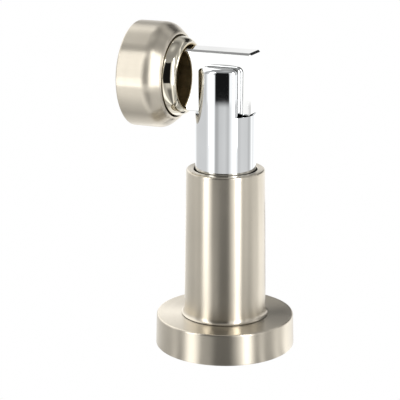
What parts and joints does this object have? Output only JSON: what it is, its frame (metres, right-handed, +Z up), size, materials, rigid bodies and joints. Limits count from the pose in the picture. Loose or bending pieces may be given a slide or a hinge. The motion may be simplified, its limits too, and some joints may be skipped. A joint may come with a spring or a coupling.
{
  "type": "floor door holder",
  "caption": "Magnetic floor door holder: round foot, column, slotted chrome post that turns in it, and an arm with a magnet head that holds the door's keeper cup.",
  "frame": {"origin": "on the column's axis, at floor level", "axes": "+Z up the column; -X from the post through the magnet head to the door; +Y to the holder's side"},
  "size_m": [0.0595, 0.0506, 0.1169],
  "materials": {
    "satin_nickel": "satin nickel plate, brushed round the turned pieces",
    "chrome": "bright chrome plate",
    "polished_nickel": "bright nickel plate",
    "zinc_steel": "zinc plated steel",
    "spring_steel": "dark spring steel",
    "black_screw": "black oxide steel",
    "magnet_plating": "nickel plated magnet",
    "black_nylon": "black nylon",
    "slip_ring": "off-white acetal",
    "rubber": "black rubber"
  },
  "bodies": {
    "floor_unit": {"base_flange": "satin_nickel", "floor_plate": "zinc_steel", "flange_set_screw": "black_screw", "column_nut": "zinc_steel", "column_sleeve": "satin_nickel", "upper_bush": "black_nylon", "lower_bush": "black_nylon", "thrust_washer": "slip_ring"},
    "post_unit": {"post": "chrome", "post_screw": "black_screw", "post_washer": "zinc_steel", "wave_washer": "spring_steel", "arm_bar": "chrome", "arm_screw": "black_screw", "arm_spring_washer": "spring_steel", "magnet_bell": "polished_nickel", "pole_cup": "zinc_steel", "magnet_disc": "magnet_plating", "head_screw": "black_screw"},
    "keeper": {"keeper_cup": "satin_nickel", "keeper_plate": "zinc_steel", "strike_disc": "zinc_steel", "strike_cushion": "rubber", "strike_screw": "black_screw", "keeper_buffer": "rubber", "keeper_set_screw": "black_screw"}
  },
  "joints": [
    {"name": "post_swivel", "type": "hinge", "parent": "floor_unit", "child": "post_unit", "pos_m": [0, 0, 0.06], "axis": [0, 0, 1], "continuous": true},
    {"name": "keeper_release", "type": "slide", "parent": "post_unit", "child": "keeper", "axis": [-1, 0, 0], "range_m": [0, 0.05]}
  ]
}
